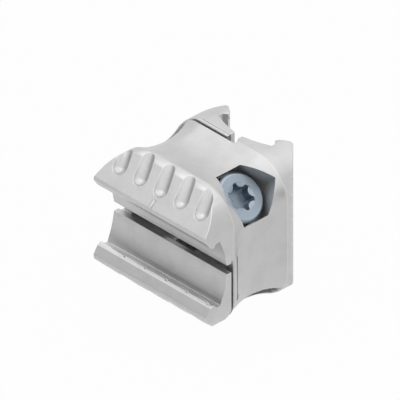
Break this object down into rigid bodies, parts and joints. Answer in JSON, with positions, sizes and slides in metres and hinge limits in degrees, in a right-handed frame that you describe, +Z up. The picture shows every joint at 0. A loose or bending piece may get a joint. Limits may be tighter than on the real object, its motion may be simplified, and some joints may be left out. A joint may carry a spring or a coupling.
{
  "type": "pipe cross connector",
  "caption": "Die-cast clamp that joins grooved round tubes crossing at a right angle: equal halves with hooked jaws, drawn together by a socket screw.",
  "frame": {"origin": "middle of the connector, where the screw's axis crosses the line between the two tubes", "axes": "+X along the front tube, +Z up along the rear tube, +Y from the front tube to the rear tube"},
  "size_m": [0.03, 0.028, 0.03],
  "materials": {
    "cast_metal": "matte die-cast",
    "zinc_plate": "satin zinc plate"
  },
  "bodies": {
    "upper_half": {"clamp_half_upper": "cast_metal"},
    "screw": {"clamp_screw": "zinc_plate"},
    "lower_half": {"clamp_half_lower": "cast_metal", "clamp_nut": "zinc_plate"}
  },
  "joints": [
    {"name": "screw_turn", "type": "hinge", "parent": "upper_half", "child": "screw", "pos_m": [0, 0, 0], "axis": [-0.7071, 0, -0.7071], "range_deg": [-1080, 900]},
    {"name": "half_slide", "type": "slide", "parent": "upper_half", "child": "lower_half", "axis": [0.7071, 0, 0.7071], "range_m": [-0.003, 0.0025]}
  ],
  "couplings": [
    {"joint": "screw_turn", "follows": "half_slide", "rad_per_m": 6283.2}
  ]
}
